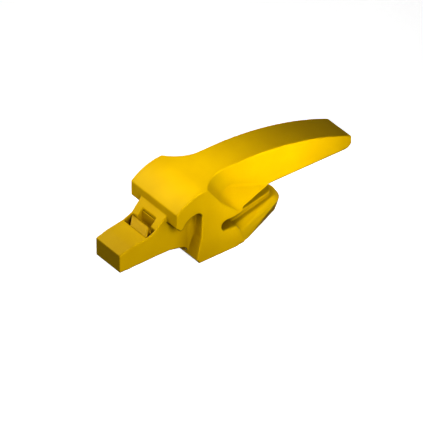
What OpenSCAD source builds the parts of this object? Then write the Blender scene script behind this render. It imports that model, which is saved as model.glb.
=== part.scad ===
/* [Overall] */
// Length from the nose tip to the end of the upper strap
length = 525; // [515:1:535]
// Full width over the hood and the body
body_w = 137; // [134:1:142]
// Depth of the flat bottom below the nose centre line
body_drop = 47; // [44:1:50]

/* [Nose] */
// Nose width at the tip
nose_tip_w = 72; // [68:1:74]
// Nose width where it runs into the body
nose_root_w = 77; // [76:1:80]
// Nose height at the tip
nose_tip_h = 38; // [34:1:40]
// Height of the front block of the nose at the lock groove
nose_top_z = 31.5; // [30:0.5:33]

/* [Hood] */
// Distance from the nose tip to the hood's front face
hood_x = 103; // [101:1:105]
// Height of the hood's front top edge above the centre line
hood_front_z = 80.5; // [78:0.5:83]
// Height of the hood's crown above the centre line
crown_z = 107; // [105:0.5:108]

/* [Straps] */
// Width of the upper strap
strap_w = 70; // [66:1:74]
// Clear gap for the bucket's lip plate
lip_gap = 29; // [28:0.5:30]
// Thickness of the upper strap at its end face
strap_end_t = 16; // [14:1:18]
// Radius of the round root of the throat
throat_r = 10.5; // [9:0.5:11]
// Distance from the nose tip to the end of the lower strap
tongue_end_x = 379; // [374:1:384]

/* [Lock] */
// Width of the groove across the nose
groove_w = 19.3; // [19:0.1:19.6]
// Length of the groove across the nose
groove_len = 67; // [64:0.5:68]
// Width of the pocket behind the groove
pocket_w = 40; // [38:0.5:42]
// Diameter of the guide pins
pin_d = 5; // [4:0.5:6]
// Travel of the sprung latch block
latch_travel = 3; // [2:0.5:3]

/* [Hidden] */
$fn = 96;

// Gap between bodies that move past each other
play = 0.3;
// Gap round the lock bar in its groove, front and rear, and at its ends
bar_gap = 1;
end_gap = 0.8;
// Gap between parts of one body that only sit in each other
seat_gap = 0.1;
// Radial running clearance of a guide pin in the block
run_gap = 0.05;
// Overrun of a cutting shape past the face that it cuts
over = 5;

half_w = body_w / 2;
strap_half_w = strap_w / 2;

// Points of an arc in the side view, from angle a0 to a1 in degrees
function arc(c, r, a0, a1, n) = [for (i = [0 : n]) let (a = a0 + (a1 - a0) * i / n)
    c + r * [cos(a), sin(a)]];
// Height of a circle with centre c and radius r at x
function on_circle(c, r, x) = c[1] + sqrt(r * r - pow(x - c[0], 2));
// Angle, seen from c, of the circle's upper point at x
function angle_at(c, r, x) = acos((x - c[0]) / r);

// Hood crown: the arc that passes through the front edge and is level at crown_x
crown_x = 172;
crown_rise = crown_z - hood_front_z;
crown_r = (pow(crown_x - hood_x, 2) + pow(crown_rise, 2)) / (2 * crown_rise);
crown_c = [crown_x, crown_z - crown_r];

// Upper strap: one long arc that falls towards the end
strap_x = 262;
strap_z = 108.7;
strap_r = 666;
strap_c = [strap_x, strap_z - strap_r];
strap_end_z = on_circle(strap_c, strap_r, length);

// Throat, which the lip plate's front edge enters
throat_x = 214;
throat_z = throat_r;
neck_end_x = 245;
gap_start_x = 256;

// Lower strap: its ledge carries the weld, its pad carries the lip plate
ledge_z = -9.5;
body_end_x = 245;
flank_x = 248;
body_foot_x = 257.5;

// Front of the body, where the tooth's skirt ends
slot_x = 158;
slot_r = 12;
slot_top_z = 63.5;
ear_r = 33;
ear_x = 147.5;
ear_c = [ear_x, slot_top_z - ear_r];

// Land that rises from the groove to the hood
land_z = 39.5;
land_end_z = 64;

// Lock parts, from the front to the rear
groove_x = 61;
groove_z = 18;
bar_len = groove_len - 2 * end_gap;
bar_w = groove_w - 2 * bar_gap;
bar_slant = 17;
bar_z = groove_z + play;
bar_front_h = 11.5;
bar_rear_h = 18.5;
bar_edge = 1.5;
pocket_x = groove_x + groove_w;
pocket_z = 21;
pocket_open_x = 93.5;
cavity_x = 127;
cavity_z = 46;
block_x = pocket_x - bar_gap + play;
block_toe_z = 26;
block_face_x = 92.5;
block_end_x = 108;
plate_t = 4;
plate_x = cavity_x - plate_t;
pin_z = 34;
pin_y = 11;
pin_x = block_face_x + 9.5;

// Puts the design lengths into the part's frame: its origin is the centre of the box at the bottom
module placed() translate([-length / 2, 0, body_drop]) children();

// Extrudes a side view drawn in X and Z across the part
module across(w) rotate([90, 0, 0]) linear_extrude(w, center = true) children();

// Side view of the hood, the upper strap and the body in one
module side_view() polygon(concat(
    [[hood_x, 50.5]],
    arc(crown_c, crown_r, angle_at(crown_c, crown_r, hood_x), 90, 14),
    arc(strap_c, strap_r, 90, angle_at(strap_c, strap_r, length), 24),
    [[length, strap_end_z - strap_end_t], [length - 4, lip_gap + 2.5], [length - 11, lip_gap]],
    [[gap_start_x, lip_gap], [neck_end_x, 2 * throat_r]],
    arc([throat_x, throat_z], throat_r, 90, 270, 20),
    [[238, 0], [243, ledge_z], [body_end_x, ledge_z], [body_foot_x, -body_drop]],
    [[153, -body_drop], [slot_x - 10, -38.5], [slot_x, 6.5]],
    arc([slot_x + 1.5 - slot_r, slot_top_z - slot_r], slot_r, 0, 90, 8),
    arc(ear_c, ear_r, 90, 156, 10),
    [[110.5, 41.8]]));

// Thin slice of a scoop: a disc that touches the strap's side at touch_x, and all that lies behind it
module scoop_slice(touch_x, r, z) translate([touch_x, strap_half_w, z]) {
    translate([0, r, 0]) cylinder(r = r, h = 0.1, $fn = 72);
    cube([length, 2 * r, 0.1]);
}

// Hollow that narrows the hood down to the strap: round at the top, nearly flat at the bottom
module scoop() hull() {
    scoop_slice(234, 82, crown_z + over);
    scoop_slice(256, 60, 66);
    translate([0, 0, lip_gap]) linear_extrude(0.1)
        polygon([[240, half_w + over], [242, half_w], [339, strap_half_w], [2 * length, strap_half_w],
            [2 * length, half_w + over]]);
}

// Tapered nose with its rising land, as seen from the side and from above; its flanks flare into the body
module nose() {
    nose_end_x = 170;
    root_half = nose_root_w / 2;
    root_r = 11;
    flank = concat(
        [[0, nose_tip_w / 2]],
        arc([slot_x - root_r, root_half + root_r], root_r, 270, 360, 12),
        [[nose_end_x, root_half + root_r]]);
    intersection() {
        across(body_w) polygon(concat(
            [[0, -nose_tip_h / 2], [0, nose_tip_h / 2], [27, 26], [groove_x, nose_top_z]],
            [[pocket_x, land_z], [hood_x, land_end_z], [nose_end_x, 70], [nose_end_x, -40]],
            [[152, -40], [147, -29], [140, -23.5], [130, -20.5], [108, -16]]));
        linear_extrude(4 * body_w, center = true) polygon(concat(
            flank, [for (i = [len(flank) - 1 : -1 : 0]) [flank[i][0], -flank[i][1]]]));
    }
}

// A thin plan outline of the lower strap: half-width at its front, round end
module tongue_layer(front_x, front_half, end_r, end_x, z_front, z_end) {
    t = 0.5;
    for (s = [-1, 1]) translate([front_x, s * (front_half - t), z_front]) cylinder(r = t, h = t, $fn = 16);
    translate([end_x - end_r, 0, z_end]) cylinder(r = end_r, h = t, $fn = 32);
}

// Lower strap, whose flanks flare out below the ledge and are then undercut down to its flat bottom
module tongue() hull() {
    tongue_layer(body_end_x - 1, 54, 27, tongue_end_x - 9, ledge_z, ledge_z);
    tongue_layer(flank_x, 66.4, 30, tongue_end_x, -18.5, -23.5);
    tongue_layer(body_foot_x, 65.2, 23.5, tongue_end_x - 7, -body_drop, -body_drop);
}

// Raised pad that the lip plate rests on
module lip_pad() hull() {
    for (s = [-1, 1]) translate([246, s * 38, -12]) cylinder(r = 3, h = 12, $fn = 32);
    translate([336, 0, -12]) cylinder(r = 22.5, h = 12, $fn = 32);
}

// Slopes the body's sides in towards the bottom
module side_draft() {
    draft = 2.4;
    long = 300;
    for (s = [-1, 1]) translate([hood_x, s * half_w, lip_gap]) rotate([s * draft, 0, 0])
        translate([0, s * half_w - half_w, -body_w]) cube([long, body_w, body_w]);
}

module adapter_body() color([0.95, 0.72, 0.02]) placed() difference() {
    union() {
        difference() {
            across(body_w) side_view();
            for (s = [0, 1]) mirror([0, s, 0]) scoop();
            side_draft();
        }
        nose();
        tongue();
        lip_pad();
    }
    // Groove for the lock bar
    translate([groove_x, -groove_len / 2, groove_z]) cube([groove_w, groove_len, length]);
    // Pocket in the land, open to the groove
    translate([groove_x, -pocket_w / 2, pocket_z]) cube([pocket_open_x - groove_x, pocket_w, length]);
    // Cavity under the land, which holds the sprung latch
    translate([groove_x, -pocket_w / 2, pocket_z]) cube([cavity_x - groove_x, pocket_w, cavity_z - pocket_z]);
}

// Steel bar that keys the tooth to the nose: its ends are cut at a slant, and it lifts out of the groove
module lock_bar() color([0.88, 0.66, 0.02]) placed() translate([groove_x + bar_gap, 0, bar_z]) {
    half = bar_len / 2;
    intersection() {
        across(bar_len) polygon([
            [0, 0], [bar_w, 0], [bar_w, bar_rear_h - bar_edge],
            [bar_w - bar_edge, bar_rear_h], [0, bar_front_h]]);
        linear_extrude(bar_rear_h) polygon([
            [0, -half], [0, half - bar_slant], [bar_w, half], [bar_w, bar_slant - half]]);
    }
}

// Places shapes on the axes of the two guide pins
module at_pins() for (s = [-1, 1]) translate([0, s * pin_y, pin_z]) rotate([0, 90, 0]) children();

// Sprung block under the land, whose toe reaches through the pocket and presses on the bar
module latch_block() color([0.85, 0.63, 0.02]) placed() difference() {
    half = pocket_w / 2 - play;
    toe_slope = 1.5;
    across(2 * half) polygon([
        [block_x, pocket_z + play], [block_end_x, pocket_z + play], [block_end_x, cavity_z - play],
        [block_face_x, cavity_z - play], [block_face_x - toe_slope, block_toe_z], [block_x, block_toe_z]]);
    at_pins() translate([0, 0, pin_x - latch_travel - 1]) cylinder(r = pin_d / 2 + run_gap, h = length);
}

// Rubber cushion between the block and the plate
module latch_cushion() color([0.08, 0.08, 0.08]) placed() difference() {
    margin = 2;
    translate([block_end_x, margin - pocket_w / 2, pocket_z + margin])
        cube([plate_x - block_end_x, pocket_w - 2 * margin, cavity_z - pocket_z - 2 * margin]);
    at_pins() cylinder(r = pin_d / 2 + play, h = length);
}

// Steel plate at the back of the cavity, which carries the guide pins
module backing_plate() color([0.45, 0.45, 0.46]) placed() difference() {
    translate([plate_x, seat_gap - pocket_w / 2, pocket_z + seat_gap])
        cube([plate_t - seat_gap, pocket_w - 2 * seat_gap, cavity_z - pocket_z - 2 * seat_gap]);
    at_pins() cylinder(r = pin_d / 2, h = length);
}

// Two dowels pressed into the plate, on which the block slides
module guide_pins() color([0.6, 0.6, 0.62]) placed()
    at_pins() translate([0, 0, pin_x]) cylinder(r = pin_d / 2, h = cavity_x - seat_gap - pin_x);

adapter_body();
lock_bar();
latch_block();
latch_cushion();
backing_plate();
guide_pins();
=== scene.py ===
"""Weld-on excavator tooth adapter: a painted steel casting with a lift-out lock bar and a sprung latch.

Metres throughout. X runs from the nose tip towards the straps, the near side is at -Y, and Z is up.
"""
import math

import bmesh
import bpy
import numpy as np
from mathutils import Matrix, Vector
from mathutils.bvhtree import BVHTree


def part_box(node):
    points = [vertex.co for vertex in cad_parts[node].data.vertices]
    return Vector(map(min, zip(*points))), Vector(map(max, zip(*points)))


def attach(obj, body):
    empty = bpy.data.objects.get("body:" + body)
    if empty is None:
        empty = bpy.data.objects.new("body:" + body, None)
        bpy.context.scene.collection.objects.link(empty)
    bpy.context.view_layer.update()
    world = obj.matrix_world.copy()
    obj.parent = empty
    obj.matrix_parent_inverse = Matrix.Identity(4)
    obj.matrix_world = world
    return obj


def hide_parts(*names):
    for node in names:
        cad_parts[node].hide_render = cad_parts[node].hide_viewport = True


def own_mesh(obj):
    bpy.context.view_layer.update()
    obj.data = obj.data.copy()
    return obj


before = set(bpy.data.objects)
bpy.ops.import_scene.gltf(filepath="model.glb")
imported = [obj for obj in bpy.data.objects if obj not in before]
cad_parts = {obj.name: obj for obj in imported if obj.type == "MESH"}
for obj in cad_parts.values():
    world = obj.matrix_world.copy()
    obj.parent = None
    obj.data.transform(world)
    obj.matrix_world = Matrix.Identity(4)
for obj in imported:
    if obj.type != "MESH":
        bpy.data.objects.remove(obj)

MM = 0.001
scene = bpy.context.scene
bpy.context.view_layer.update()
body_low, body_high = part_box("adapter_body")
length = body_high.x - body_low.x
half_w = body_high.y
middle = (0, 0, body_high.z / 2)

# The camera stands far off behind a long lens, so its view is nearly parallel, as the photo's is
CAMERA_DISTANCE = 12
CAMERA_AZIMUTH = -37.4
CAMERA_ELEVATION = 36.0
CAMERA_AIM = Vector((-0.0301, 0, 0.0411))
VIEW_WIDTH = 1.45 * length
DOME_RADIUS = CAMERA_DISTANCE + 2
FLOOR_GAP = 0.2 * MM

# How far one round of smoothing moves a point towards its neighbours' mean, from 0 to 1
EDGE_SOFTNESS = 0.036
HEEL_SOFTNESS = 0.35
LARGE_EDGE_SOFTNESS = 0.16
SMALL_PART_SOFTNESS = 0.5

# Places on the casting with larger radii: lowest corner, highest corner and width of the fade round the
# box. Y is the distance from the middle plane, so that a box stands for both sides.
HEEL = (-0.016, 0.055, 0.0), (-0.002, half_w, 0.030), 0.008
THROAT_LIP = (-0.058, 0.052, 0.042), (-0.020, half_w, 0.050), 0.005
SCOOP_FOOT = (-0.02, 0.050, 0.068), (0.07, half_w, 0.086), 0.010
STRAP_FOOT = (0.0, 0.028, 0.070), (body_high.x, 0.050, 0.080), 0.004

# The latch block is softened over this length from its toe, which stops short of the guide pins' bores
LATCH_FRONT = 17 * MM
LATCH_FADE = 2 * MM


# ---------------------------------------------------------------- camera

def link_object(name, data):
    obj = bpy.data.objects.new(name, data)
    scene.collection.objects.link(obj)
    return obj


def direction(azimuth, elevation):
    """Unit vector from the object towards a viewer or a light; azimuth 0 is in front of the near side."""
    a, e = math.radians(azimuth), math.radians(elevation)
    return Vector((math.sin(a) * math.cos(e), -math.cos(a) * math.cos(e), math.sin(e)))


def add_camera():
    back = direction(CAMERA_AZIMUTH, CAMERA_ELEVATION)
    data = bpy.data.cameras.new("camera")
    data.lens = data.sensor_width * CAMERA_DISTANCE / VIEW_WIDTH
    data.clip_start, data.clip_end = 0.1, 4 * CAMERA_DISTANCE
    cam = link_object("camera", data)
    cam.location = CAMERA_AIM + back * CAMERA_DISTANCE
    cam.rotation_mode = "QUATERNION"
    cam.rotation_quaternion = (-back).to_track_quat("-Z", "Y")
    scene.camera = cam


add_camera()


# ---------------------------------------------------------------- node helpers

def nodes_for(name):
    """A new node material, its tree and its Principled BSDF."""
    mat = bpy.data.materials.new(name)
    mat.use_nodes = True
    return mat, mat.node_tree, mat.node_tree.nodes["Principled BSDF"]


def add(tree, kind, **values):
    """Adds a node; a value goes to the input of its name, or else to the node's own property."""
    node = tree.nodes.new(kind)
    for key, value in values.items():
        if key in node.inputs:
            node.inputs[key].default_value = value
        else:
            setattr(node, key, value)
    return node


def noise(tree, scale, detail=3.0, rough=0.5, stretch=None):
    """Noise fixed to the object; stretch gives its scale along each axis."""
    place = add(tree, "ShaderNodeTexCoord").outputs["Object"]
    if stretch:
        stretched = add(tree, "ShaderNodeMapping", Scale=stretch)
        tree.links.new(place, stretched.inputs["Vector"])
        place = stretched.outputs["Vector"]
    tex = add(tree, "ShaderNodeTexNoise", Scale=scale, Detail=detail, Roughness=rough)
    tree.links.new(place, tex.inputs["Vector"])
    return tex.outputs["Fac"]


def ramp(tree, value, start, end, first, last):
    """A colour that goes from first to last as a value goes from start to end, both within 0 to 1."""
    node = add(tree, "ShaderNodeValToRGB")
    stops = node.color_ramp.elements
    stops[0].position, stops[0].color = start, (*first, 1)
    stops[1].position, stops[1].color = end, (*last, 1)
    tree.links.new(value, node.inputs["Fac"])
    return node.outputs["Color"]


def rescaled(tree, value, **ends):
    """A value mapped from one range to another, 0 to 1 where an end isn't given."""
    node = add(tree, "ShaderNodeMapRange", **{key.replace("_", " "): end for key, end in ends.items()})
    tree.links.new(value, node.inputs["Value"])
    return node.outputs["Result"]


def shaded(tree, colour, value, start, end, dark):
    """A colour that darkens as a value goes from start to end; it paints shade into a base colour."""
    mix = add(tree, "ShaderNodeMix", data_type="RGBA", blend_type="MULTIPLY")
    tree.links.new(rescaled(tree, value, From_Min=start, From_Max=end), mix.inputs["Factor"])
    tree.links.new(colour, mix.inputs["A"])
    mix.inputs["B"].default_value = (*dark, 1)
    return mix.outputs["Result"]


def bump(tree, height, strength, distance, below=None):
    """The normal of a rough surface; below is the normal of a coarser one that it adds to."""
    node = add(tree, "ShaderNodeBump", Strength=strength, Distance=distance)
    tree.links.new(height, node.inputs["Height"])
    if below is not None:
        tree.links.new(below, node.inputs["Normal"])
    return node.outputs["Normal"]


# ---------------------------------------------------------------- materials

def paint(name, light, deep, grain, roughness):
    """Yellow paint over cast steel: slow colour drift, painted shade in hollows and on undersides, cast
    grain.
    """
    mat, tree, bsdf = nodes_for(name)
    drift = ramp(tree, noise(tree, scale=14.0, detail=4.0), start=0.35, end=0.7, first=deep, last=light)

    # Painted shade: faces that turn downwards get a darker base colour, standing in for the shade under
    # them
    facing = add(tree, "ShaderNodeSeparateXYZ")
    tree.links.new(add(tree, "ShaderNodeNewGeometry").outputs["Normal"], facing.inputs["Vector"])
    under = shaded(tree, drift, facing.outputs["Z"], start=-0.045, end=-0.22, dark=(0.36, 0.33, 0.27))
    # Painted shade: hollows, where walls stand close by, get a darker base colour from ambient occlusion,
    # standing in for the shade in them
    openness = add(tree, "ShaderNodeAmbientOcclusion", Distance=0.04, only_local=True).outputs["AO"]
    hollow_painted_shade = shaded(tree, under, openness, start=0.98, end=0.42, dark=(0.33, 0.30, 0.25))
    tree.links.new(hollow_painted_shade, bsdf.inputs["Base Color"])

    patches = noise(tree, scale=60.0, detail=2.0)
    patchy = rescaled(tree, patches, To_Min=roughness - 0.05, To_Max=roughness + 0.07)
    tree.links.new(patchy, bsdf.inputs["Roughness"])
    coarse = bump(tree, noise(tree, scale=260.0, rough=0.55), strength=grain, distance=0.6 * MM)
    fine = noise(tree, scale=1100.0, detail=2.0)
    skin = bump(tree, fine, strength=grain * 0.6, distance=0.2 * MM, below=coarse)
    tree.links.new(skin, bsdf.inputs["Normal"])
    bsdf.inputs["Specular IOR Level"].default_value = 0.06
    bsdf.inputs["Specular Tint"].default_value = (1.0, 0.75, 0.25, 1)
    return mat


def rubber():
    """Black rubber with a faint bloom and a matt, finely pitted skin."""
    mat, tree, bsdf = nodes_for("cushion_rubber")
    bloom = ramp(tree, noise(tree, scale=90.0), start=0.3, end=0.8,
                 first=(0.012, 0.012, 0.012), last=(0.035, 0.034, 0.033))
    tree.links.new(bloom, bsdf.inputs["Base Color"])
    pits = bump(tree, noise(tree, scale=900.0), strength=0.3, distance=0.3 * MM)
    tree.links.new(pits, bsdf.inputs["Normal"])
    bsdf.inputs["Roughness"].default_value = 0.75
    return mat


def ground_steel():
    """Bare steel with grinding lines along X."""
    mat, tree, bsdf = nodes_for("plain_steel")
    lines = noise(tree, scale=120.0, detail=4.0, stretch=(1.0, 30.0, 30.0))
    tone = ramp(tree, lines, start=0.3, end=0.7, first=(0.32, 0.32, 0.33), last=(0.5, 0.5, 0.51))
    tree.links.new(tone, bsdf.inputs["Base Color"])
    tree.links.new(bump(tree, lines, strength=0.2, distance=0.1 * MM), bsdf.inputs["Normal"])
    bsdf.inputs["Metallic"].default_value = 1.0
    bsdf.inputs["Roughness"].default_value = 0.38
    return mat


# One material for each material slot of the record
finishes = {
    "casting_paint": paint("casting_paint", light=(0.74, 0.44, 0.0), deep=(0.68, 0.39, 0.0),
                           grain=0.12, roughness=0.48),
    "lock_paint": paint("lock_paint", light=(0.60, 0.34, 0.0), deep=(0.53, 0.295, 0.0),
                        grain=0.08, roughness=0.45),
    "cushion_rubber": rubber(),
    "plain_steel": ground_steel(),
}


# ---------------------------------------------------------------- rounded copies of the CAD solids

def cad_tree(node):
    """Search tree of a CAD node's faces."""
    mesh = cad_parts[node].data
    mesh.calc_loop_triangles()
    points = [v.co.copy() for v in mesh.vertices]
    faces = [tuple(t.vertices) for t in mesh.loop_triangles]
    return BVHTree.FromPolygons(points, faces)


def remeshed(node, name, voxel):
    """A new object with a CAD node's shape in even, fine quads."""
    piece = link_object(name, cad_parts[node].data.copy())
    piece.data.materials.clear()
    remesh = piece.modifiers.new("remesh", "REMESH")
    remesh.mode = "VOXEL"
    remesh.voxel_size = voxel
    graph = bpy.context.evaluated_depsgraph_get()
    mesh = bpy.data.meshes.new_from_object(piece.evaluated_get(graph))
    piece.modifiers.clear()
    piece.data = mesh
    mesh.name = name
    return piece


def smooth_points(points, edges, strength, rounds):
    """Moves each point towards the mean of its neighbours; strength is a number for each point."""
    count = np.zeros(len(points))
    np.add.at(count, edges[:, 0], 1)
    np.add.at(count, edges[:, 1], 1)
    count = np.maximum(count, 1)[:, None]
    for _ in range(rounds):
        total = np.zeros_like(points)
        for axis in range(3):
            total[:, axis] = (
                np.bincount(edges[:, 0], points[edges[:, 1], axis], len(points))
                + np.bincount(edges[:, 1], points[edges[:, 0], axis], len(points))
            )
        points = points + strength[:, None] * (total / count - points)
    return points


def rounded(node, name, voxel, rounds, soften):
    """A remeshed copy of a CAD node, laid back on its faces and then rounded at its edges."""
    piece = remeshed(node, name, voxel)
    mesh = piece.data
    tree = cad_tree(node)
    points = np.empty(len(mesh.vertices) * 3)
    mesh.vertices.foreach_get("co", points)
    points = points.reshape(-1, 3)
    for i in range(len(points)):
        points[i] = tree.find_nearest(Vector(points[i]))[0]
    edges = np.empty(len(mesh.edges) * 2, dtype=np.int64)
    mesh.edges.foreach_get("vertices", edges)
    points = smooth_points(points, edges.reshape(-1, 2), soften(points), rounds)
    mesh.vertices.foreach_set("co", points.ravel())
    mesh.polygons.foreach_set("use_smooth", np.ones(len(mesh.polygons), dtype=bool))
    mesh.update()
    return piece


def within(points, low, high, fade):
    """1 inside the box from low to high on either side of the part, falling to 0 over the fade."""
    places = np.column_stack([points[:, 0], np.abs(points[:, 1]), points[:, 2]])
    out = np.maximum(np.array(low) - places, places - np.array(high))
    gap = np.linalg.norm(np.maximum(out, 0), axis=1)
    return np.clip(1 - gap / fade, 0, 1)


def casting_softness(points):
    """Small radii on most edges, larger ones in the boxes above."""
    heel = within(points, *HEEL)
    others = np.maximum.reduce([within(points, *box) for box in (THROAT_LIP, SCOOP_FOOT, STRAP_FOOT)])
    return EDGE_SOFTNESS + np.maximum(HEEL_SOFTNESS * heel, LARGE_EDGE_SOFTNESS * others)


def even_softness(points):
    return np.full(len(points), SMALL_PART_SOFTNESS)


def latch_softness(points):
    """Soft edges on the latch block's toe and face, none round the bores of the guide pins."""
    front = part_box("latch_block")[0].x + LATCH_FRONT
    return SMALL_PART_SOFTNESS * np.clip((front - points[:, 0]) / LATCH_FADE, 0, 1)


def stand_in(node, name, body, slot, voxel, rounds, soften):
    """Shows a rounded copy with the slot's finish in place of a CAD node."""
    piece = rounded(node, name, voxel, rounds, soften)
    piece.data.materials.append(finishes[slot])
    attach(piece, body)
    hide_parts(node)
    return piece


stand_in("adapter_body", "casting", "adapter", "casting_paint",
         voxel=1.25 * MM, rounds=60, soften=casting_softness)
stand_in("lock_bar", "bar", "bar", "lock_paint", voxel=0.5 * MM, rounds=6, soften=even_softness)
stand_in("latch_block", "latch", "latch", "lock_paint", voxel=0.5 * MM, rounds=5, soften=latch_softness)

# The rubber cushion, which the latch block's travel shortens against its plate, gets a mesh of its own
cushion = stand_in("latch_cushion", "cushion", "adapter", "cushion_rubber",
                   voxel=0.7 * MM, rounds=4, soften=even_softness)
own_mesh(cushion)

for node in ("backing_plate", "guide_pins"):
    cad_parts[node].material_slots[0].material = finishes["plain_steel"]


# ---------------------------------------------------------------- floor and lights

def clear_from_outside(tree, bsdf):
    """Lets a view from under the floor pass through it; the dome's inside is the back of its faces."""
    side = add(tree, "ShaderNodeNewGeometry")
    mix = add(tree, "ShaderNodeMixShader")
    tree.links.new(side.outputs["Backfacing"], mix.inputs["Fac"])
    tree.links.new(add(tree, "ShaderNodeBsdfTransparent").outputs["BSDF"], mix.inputs[1])
    tree.links.new(bsdf.outputs["BSDF"], mix.inputs[2])
    tree.links.new(mix.outputs["Shader"], tree.nodes["Material Output"].inputs["Surface"])


def add_backdrop():
    """A plain pale floor that runs up into a wide dome. Neither throws light back on the object."""
    bm = bmesh.new()
    bmesh.ops.create_uvsphere(bm, u_segments=48, v_segments=24, radius=DOME_RADIUS)
    for vert in bm.verts:
        vert.co.z = max(vert.co.z, -FLOOR_GAP)
    bmesh.ops.remove_doubles(bm, verts=bm.verts, dist=MM)
    mesh = bpy.data.meshes.new("floor")
    bm.to_mesh(mesh)
    bm.free()
    floor = link_object("floor", mesh)
    floor.visible_diffuse = False
    floor.visible_glossy = False
    floor.visible_shadow = False
    mat, tree, bsdf = nodes_for("floor")
    clear_from_outside(tree, bsdf)
    bsdf.inputs["Base Color"].default_value = (0.8, 0.8, 0.8, 1)
    bsdf.inputs["Roughness"].default_value = 0.9
    bsdf.inputs["Emission Color"].default_value = (1, 1, 1, 1)
    bsdf.inputs["Emission Strength"].default_value = 0.8
    mesh.materials.append(mat)


def add_light(name, aim, azimuth, elevation, distance, size, power, spread=180):
    """Round soft box that faces aim from a direction; power is in watts, spread in degrees."""
    towards = direction(azimuth, elevation)
    data = bpy.data.lights.new(name, "AREA")
    data.shape = "DISK"
    data.size = size
    data.energy = power
    data.spread = math.radians(spread)
    light = link_object(name, data)
    light.location = Vector(aim) + towards * distance
    light.rotation_euler = (-towards).to_track_quat("-Z", "Y").to_euler()
    light.visible_camera = False


add_backdrop()

# Main light, and two narrow ones for the strap's bright flank and the hood's top
add_light("key", (0.04, 0, body_high.z / 2), -26, 30, distance=1.0, size=0.4, power=7.2)
add_light("strap_light", (0.12, -0.035, 0.12), -33, 8, distance=0.9, size=0.15, power=0.21, spread=24)
add_light("hood_light", (-0.08, 0, 0.15), -75, 60, distance=0.5, size=0.15, power=0.09, spread=35)

# Fills for the views from behind and from below
add_light("rear_fill", middle, 205, 25, distance=0.7, size=0.4, power=3.0)
add_light("under_fill", middle, 170, -50, distance=0.8, size=0.5, power=3.0)

world = bpy.data.worlds.new("world")
scene.world = world
world.use_nodes = True
world.node_tree.nodes["Background"].inputs["Color"].default_value = (1, 1, 1, 1)
world.node_tree.nodes["Background"].inputs["Strength"].default_value = 0.06
scene.view_settings.view_transform = "Standard"
